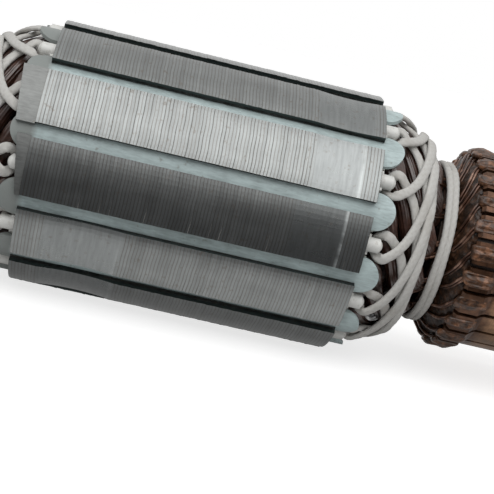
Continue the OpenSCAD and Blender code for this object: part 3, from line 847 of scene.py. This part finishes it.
class ARMATURE_OT_coils(Operator):
    """Twelve coils as bundles of varnished wire, each with its leads to two risers"""
    bl_idname = "armature.coils"
    bl_label = "Coils and leads"

    def execute(self, context):
        winding = context.scene.armature_winding
        materials = [varnished_wire_finish(winding), lead_finish(winding)]
        path = smooth_path(coil_knots(), 4, True)
        rng = np.random.default_rng(11)
        for coil in range(SLOTS):
            shell = Shell()
            self.add_bundle(shell, path, winding, (coil + 0.5) * PITCH, rng)
            self.add_leads(shell, winding.wire_d / MM / 2, (coil + 0.5) * PITCH, rng)
            shell.build(f"coil_winding_{coil + 1}", materials, [f"coil_{coil + 1}"])
        return {"FINISHED"}

    def add_bundle(self, shell, path, winding, angle, rng):
        """A bundle with a wire's round back for each lobe: the flat-round profile is pulled in between wires
        by a share of their diameter times 1 less the root of a sine round it. Five slow waves along the run
        make the lobes wander."""
        lobes = winding.wires
        px, py, a = flat_round(lobes * 5, 3.0)
        centres, ups, half = path[:, :3], path[:, 3:6], path[:, 6:8]
        run = run_along(centres)
        phase = 2 * np.pi * run / run[-1]
        wander = sum(rng.uniform(0.15, 0.6) / k * np.sin(k * phase + rng.uniform(0, PHASES))
                     for k in (1, 2, 3, 5, 8))
        lobe = np.abs(np.sin(a * lobes / 2 + wander[:, None]))
        own = 1 + 0.5 * np.sin(a * 3 + 6 * phase[:, None] + rng.uniform(0, PHASES))
        pull = (winding.wire_d / MM) * 0.36 * (1 - np.sqrt(np.clip(lobe, 0, 1))) * own
        points, faces = sweep(centres, ups, px * (half[:, :1] - pull), py * (half[:, 1:] - pull), True)
        shell.add(turned(points, angle), faces)

    def add_leads(self, shell, wire_r, angle, rng):
        """Two round wires side by side for each lead of the coil: its route plus and minus a little more
        than a wire's radius to the side, each swayed outwards by half a sine wave."""
        middle = SPAN_ANGLE / 2
        ca, sa, _ = flat_round(8, 2.0)
        for k in (-1, 1):
            knots = lead_route(middle + LEAD_EDGE * k, middle - LEAD_SKEW + k * BAR_PITCH / 2)
            path = even_path(smooth_path(knots, 6, False), 0.25, False)
            out = unit(path * (0, 1, 1))
            side, _ = path_frames(path, out, False)
            rings = np.ones((len(path), 1)) * wire_r
            for way in (-1, 1):
                sway = rng.uniform(-LEAD_SWAY, LEAD_SWAY) * np.sin(np.linspace(0, np.pi, len(path)))[:, None]
                wire = path + side * way * (wire_r + 0.01) + out * sway
                points, faces = sweep(wire, out, rings * ca, rings * sa, False)
                shell.add(turned(points, angle), faces, 1)


def lacing_knots():
    """Knots of one end's lacing: place and direction outwards, for twelve loops of one endless cord. Each
    loop goes round a peg's foot, out over the end turns to the neck and back to the peg five further round.
    The outgoing strand lies on the returning ones until it nears the neck."""
    lean = math.cos(math.radians(CONE))
    half_cord = CORD_T / 2 + FIT_GAP
    crossing = CORD_T + 3 * FIT_GAP

    def strand(t, start, way, lift):
        """Place follows the sine of a power of the run t, angle follows another power, and the radius is that
        of the end turns' cone plus the bundle, the cord and its lift."""
        x = LACE_X0 + (LACE_X1 - LACE_X0) * math.sin(math.radians(90 * t**0.8))
        r = SIDE_R_OUT - CONE_SLOPE * max(0, x - EXIT_L) + (BUNDLE[1] + FIT_GAP + half_cord) / lean
        return x, r + lift, start + way * (LACE_START - (LACE_TURN + LACE_START) * t**1.25)

    rows = []
    steps = np.arange(TURN_STEPS + 1) / TURN_STEPS
    for loop in range(SLOTS):
        a = -loop * SPAN_ANGLE
        b = a - 2 * LACE_TURN - NECK_TURN
        rows += [(x, r, a + da) for x, r, da in PEG_LOOP]
        rows += [strand(t, a, 1, crossing * (1 - max(0, t - SETTLE_FROM) / (1 - SETTLE_FROM))) for t in steps]
        rows += [strand(t, b, -1, 0) for t in steps[::-1]]
    x, r, a = np.array(rows).T
    return np.concatenate([polar(x, r, a), polar(LACE_TILT, 1.0, a)], 1)


def braided(path, width, thick, cord, count=16, power=2.6):
    """A closed, flat braided cord along a path. Its relief is the larger of two slanted waves, sin of run
    plus and minus place across, so that yarns cross in a herringbone. Returns the points, the faces, the
    material's number and the place attribute: run, place across, and relief."""
    centres, ups = path[:, :3], path[:, 3:6]
    px, py, _ = flat_round(count, power)
    run = run_along(centres)[:, None]
    k = 2 * np.pi / (cord.braid / MM)
    across = px[None, :] * width / 2
    slant = 1.2 * k * across
    relief = np.maximum(np.sin(k * run + slant), np.sin(k * run - slant + np.pi / 2))
    lift = (cord.relief / MM) * relief
    wide = 1 + 0.05 * np.sin(run / 3.1) + 0.03 * np.sin(run / 1.3 + 1)
    points, faces = sweep(centres, ups, px * (width / 2 * wide + lift * 0.6), py * (thick / 2 + lift), True)
    place = np.stack(np.broadcast_arrays(run, across, 0.5 + 0.5 * relief), -1)
    return points, faces, 0, place.reshape(-1, 3)


class ARMATURE_OT_lacing(Operator):
    """Flat cord laced round the pegs and over the end turns at both ends"""
    bl_idname = "armature.lacing"
    bl_label = "End lacing"

    def execute(self, context):
        cord = context.scene.armature_cord
        finish = cord_finish("lacing_cord", cord)
        path = even_path(smooth_path(lacing_knots(), 8, True), 0.32, True)
        for end, face, way in (("commutator_end", CORE_X1, 1), ("drive_end", CORE_X0, -1)):
            shell = Shell()
            placed = path * (way, 1, 1, way, 1, 1) + (face, 0, 0, 0, 0, 0)
            shell.add(*braided(placed, CORD_W, CORD_T, cord))
            shell.build(f"{end}_laced_cord", [finish], [f"{end}_lacing"])
        return {"FINISHED"}


class ARMATURE_OT_binding(Operator):
    """Cord wound twice round the neck, over the leads"""
    bl_idname = "armature.binding"
    bl_label = "Neck binding"

    def execute(self, context):
        cord = context.scene.armature_cord
        a = np.linspace(0, 360, 241)[:-1]
        shell = Shell()
        for number in range(BINDING_TURNS):
            # A circle round the neck, with small waves along the shaft and in its radius
            wobble = (0.05 * np.sin(np.radians(3 * a + 70 * number))
                      + 0.04 * np.sin(np.radians(7 * a + 40 * number)))
            x = BINDING_X + number * BINDING_PITCH + wobble
            centres = polar(x, BINDING_R + 0.04 * np.sin(np.radians(5 * a + number)), a)
            path = even_path(np.concatenate([centres, polar(0.0, 1.0, a)], 1), 0.3, True)
            shell.add(*braided(path, BINDING_D * 1.06, BINDING_D, cord, 14, 2.2))
        shell.build("neck_cord", [cord_finish("binding_cord", cord)], ["neck_binding"])
        return {"FINISHED"}


class ARMATURE_OT_riser_varnish(Operator):
    """A lump of varnish on each riser, over the ends of its leads, and varnish between the leads"""
    bl_idname = "armature.riser_varnish"
    bl_label = "Riser varnish"

    def execute(self, context):
        winding = context.scene.armature_winding
        shell = Shell()
        rng = np.random.default_rng(23)
        for bar in range(BARS):
            half_size = rng.uniform(2.3, 2.6), rng.uniform(1.05, 1.3), rng.uniform(0.6, 0.8)
            points, faces = self.lump(half_size, rng)
            middle = COMM_X + RISER_L / 2 - 0.4 + rng.uniform(-0.08, 0.08)
            x, up, side = middle + points[:, 0], RISER_R - 0.42 + points[:, 2], points[:, 1]
            shell.add(turned(np.stack([x, up, side], -1), (bar + 0.5) * BAR_PITCH), faces)
        self.add_neck(shell)
        finishes = [lump_finish("riser_varnish", winding.lump, 0.35),
                    lump_finish("neck_varnish", shade(winding.lump, 0.3), 0.15)]
        shell.build("riser_varnish", finishes)
        return {"FINISHED"}

    def add_neck(self, shell):
        """Varnish between the leads: a turned skin that follows the middle of the leads, less a small drop,
        with slow waves along and round it, closed below by a plain one."""
        route = lead_route(0, 0)
        x = np.linspace(BINDING_X, COMM_X + 0.25, 48)[:, None]
        a = np.linspace(0, 360, 481)[:-1][None, :]
        middle = np.interp(x, route[:, 0], np.hypot(route[:, 1], route[:, 2]))
        swell = (np.sin(np.radians(24 * a) + 2.1 * x + np.sin(3 * np.radians(a)))
                 + 0.7 * np.sin(np.radians(53 * a) - 3.4 * x) + 0.5 * np.sin(np.radians(17 * a) + 5.2 * x))
        skin = polar(x, middle - NECK_DROP + 0.10 * swell, a)
        points = np.concatenate([skin, polar(x, middle - NECK_UNDER, a)[::-1]])
        shell.add(points.reshape(-1, 3), grid_faces(len(points), a.shape[1], True, True), 1)

    def lump(self, half_size, rng):
        """A flattened ball whose outline is a rounded rectangle: x and y are its half length and half width
        times the 0.55 powers of the circle's cosine and sine, z is its rise times a power of the other
        angle's cosine, and slow waves make it uneven. Waves across its top are the ridges of the wires
        below."""
        u = np.linspace(0, 2 * np.pi, 28, endpoint=False)
        v = np.linspace(0, np.pi, 15)[:, None]
        ring_x, ring_y = (np.sign(c) * np.abs(c)**0.55 for c in (np.cos(u), np.sin(u)))
        level, top = np.sin(v)**0.6, np.sign(np.cos(v)) * np.abs(np.cos(v))**0.8
        uneven = (1 + 0.06 * np.sin(3 * u + rng.uniform(0, PHASES))
                  + 0.05 * np.sin(2 * u + rng.uniform(0, PHASES)))
        x, y = half_size[0] * ring_x * level * uneven, half_size[1] * ring_y * level * uneven
        crest, waves, shift = rng.uniform(0.2, 0.4), rng.uniform(4.6, 5.8), rng.uniform(-1.2, 1.2)
        ridges = crest * np.cos(waves * y + shift + 0.3 * np.sin(1.7 * x)) * np.clip(top, 0, 1)
        z = half_size[2] * top * (1 + 0.14 * np.sin(2.2 * x + rng.uniform(0, PHASES)) + ridges)
        rings, m = len(v) - 2, len(u)
        points = np.stack([x, y, z], -1)[1:-1].reshape(-1, 3)
        points = np.concatenate([points, [[0, 0, z[0].mean()], [0, 0, z[-1].mean()]]])
        j, j2 = np.arange(m), (np.arange(m) + 1) % m
        upper = np.stack([np.full(m, rings * m), j2, j], -1)
        lower = np.stack([np.full(m, rings * m + 1), (rings - 1) * m + j, (rings - 1) * m + j2], -1)
        return points, grid_faces(rings, m, False, True) + upper.tolist() + lower.tolist()


class ARMATURE_OT_insulation(Operator):
    """Finishes of the wedges, papers, leaves, end insulators and shaft tube"""
    bl_idname = "armature.insulation"
    bl_label = "Insulation"

    def execute(self, context):
        look = context.scene.armature_insulation
        dress(fibre_finish("wedge_fibre", look.wedge, soaked=look.soaked), "slot_wedge")
        dress(fibre_finish("leaf_fibre", look.leaf, metallic=0.6, gloss=0.34), "fibre_leaves")
        dress(fibre_finish("slot_paper", look.paper), "slot_papers")
        dress(moulding_finish("end_insulator_moulding", look.moulding, (0.30, 0.26, 0.21)),
              "drive_end_insulator", "commutator_end_insulator")
        dress(moulding_finish("shaft_tube_moulding", look.tube, (0.08, 0.06, 0.05)), "shaft_insulation")
        return {"FINISHED"}


class ARMATURE_OT_metal(Operator):
    """Finishes of the shaft, the commutator's bars and its hub"""
    bl_idname = "armature.metal"
    bl_label = "Shaft and commutator"

    def execute(self, context):
        look = context.scene.armature_metal
        dress(shaft_finish(look), "shaft")
        dress(bar_finish(look, context.scene.armature_winding), "commutator_bar")
        dress(moulding_finish("hub_moulding", look.hub, (0.09, 0.06, 0.04), 0.30), "commutator_hub")
        return {"FINISHED"}


# ---------- stage ----------

def strip(half, y0, z0, y1, z1):
    """Corners of a rectangle along the shaft, from one place and height across it to another."""
    return [(-half, y0, z0), (half, y0, z0), (half, y1, z1), (-half, y1, z1)]


class ARMATURE_OT_stage(Operator):
    """Floor, lamp, background, dark card and camera"""
    bl_idname = "armature.stage"
    bl_label = "Stage"

    def execute(self, context):
        stage = context.scene.armature_stage
        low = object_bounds()[0].z
        self.add_floor(low)
        self.add_world(stage)
        self.add_lamp(stage)
        self.add_card(low)
        self.add_camera(stage)
        context.scene.view_settings.view_transform = "Standard"
        return {"FINISHED"}

    def add_surface(self, name, strips, materials):
        """Flat rectangles with a material each."""
        mesh = bpy.data.meshes.new(name)
        faces = np.arange(4 * len(strips)).reshape(-1, 4).tolist()
        mesh.from_pydata(sum(strips, []), [], faces)
        for number, material in enumerate(materials):
            mesh.materials.append(material)
            mesh.polygons[number].material_index = number
        return add_object(name, mesh)

    def add_floor(self, low):
        """A level floor, with white light added to what the camera, mirrors and glass see of it."""
        f = Finish("floor_white")
        glow = f.maths("MULTIPLY", f.background_ray(), FLOOR_GLOW)
        white = f.finish(rgba((FLOOR_GREY,) * 3), 0.8, Emission_Color=WHITE, Emission_Strength=glow)
        low -= FLOOR_DROP
        floor = self.add_surface("floor", [strip(FLOOR_HALF, -FLOOR_HALF, low, FLOOR_HALF, low)], [white])
        floor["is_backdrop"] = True

    def add_world(self, stage):
        """White as the camera, mirrors and glass see it, and a softer grey as it lights the object."""
        world = bpy.data.worlds.new("room")
        bpy.context.scene.world = world
        world.use_nodes = True
        room = Nodes(world.node_tree)
        light = room.tree.nodes["Background"]
        room.feed(light.inputs["Color"], WHITE)
        room.feed(light.inputs["Strength"], room.spread(room.background_ray(), stage.fill, 1.0))

    def add_card(self, low):
        """A dark card that slopes up from the floor in front of the armature, and a grey strip below it. Only
        mirrors show them: they darken the metal's level faces and its underside."""
        low -= CARD_DROP
        strips = [strip(CARD_HALF, CARD_FAR, CARD_TOP, CARD_NEAR, low),
                  strip(CARD_HALF, -STRIP_HALF, low, STRIP_HALF, low)]
        materials = [Finish(name).finish(CARD_COLOUR, 0.9, Emission_Color=WHITE, Emission_Strength=glow)
                     for name, glow in (("card_dark", 0.0), ("card_grey", STRIP_GLOW))]
        card = self.add_surface("card", strips, materials)
        card.visible_camera = card.visible_diffuse = card.visible_shadow = False
        card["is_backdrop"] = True

    def add_lamp(self, stage):
        """A square soft lamp above the camera that faces the core."""
        lamp = bpy.data.lights.new("key_lamp", "AREA")
        lamp.size, lamp.energy = LAMP_SIZE, stage.key
        ahead = Vector(LAMP_AIM) - Vector(LAMP_PLACE)
        facing = ahead.to_track_quat("-Z", "Y").to_matrix().to_4x4()
        add_object("key_lamp", lamp).matrix_world = Matrix.Translation(LAMP_PLACE) @ facing

    def add_camera(self, stage):
        """A view that starts at the core's middle, turns by azimuth and elevation, moves aside by the aims
        and back by the distance, and rolls about its own axis."""
        data = bpy.data.cameras.new("camera")
        data.lens, data.sensor_width, data.clip_start = stage.lens, SENSOR_W, 0.01
        camera = add_object("camera", data)
        camera.matrix_world = (
            Matrix.Translation(((CORE_X0 + CORE_X1) / 2 * MM, 0, 0)) @ Matrix.Rotation(-stage.azimuth, 4, "Z")
            @ Matrix.Rotation(math.pi / 2 - stage.elevation, 4, "X")
            @ Matrix.Translation((stage.aim_right, stage.aim_up, stage.distance))
            @ Matrix.Rotation(stage.roll, 4, "Z"))
        bpy.context.scene.camera = camera


class ARMATURE_PT_panel(Panel):
    """The armature's settings and pieces, each piece with the button that makes it"""
    bl_label = "Armature"
    bl_idname = "ARMATURE_PT_panel"
    bl_space_type = "VIEW_3D"
    bl_region_type = "UI"
    bl_category = "Armature"

    def draw(self, context):
        for group in SETTINGS:
            for name in SETTINGS[group].__annotations__:
                self.layout.prop(getattr(context.scene, group), name)
        for operator in OPERATORS:
            self.layout.operator(operator.bl_idname)


SETTINGS = {
    "armature_core": CoreSettings,
    "armature_winding": WindingSettings,
    "armature_cord": CordSettings,
    "armature_insulation": InsulationSettings,
    "armature_metal": MetalSettings,
    "armature_stage": StageSettings,
}
OPERATORS = (ARMATURE_OT_core, ARMATURE_OT_coils, ARMATURE_OT_lacing, ARMATURE_OT_binding,
             ARMATURE_OT_riser_varnish, ARMATURE_OT_insulation, ARMATURE_OT_metal, ARMATURE_OT_stage)
CLASSES = (*SETTINGS.values(), *OPERATORS, ARMATURE_PT_panel)


def register():
    for cls in CLASSES:
        bpy.utils.register_class(cls)
    for name, group in SETTINGS.items():
        setattr(bpy.types.Scene, name, PointerProperty(type=group))


def unregister():
    for name in SETTINGS:
        delattr(bpy.types.Scene, name)
    for cls in reversed(CLASSES):
        bpy.utils.unregister_class(cls)


def main():
    """Makes every piece and the stage."""
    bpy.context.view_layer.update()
    register()
    for operator in OPERATORS:
        getattr(bpy.ops.armature, operator.bl_idname.split(".")[1])()


if __name__ == "__main__":
    main()
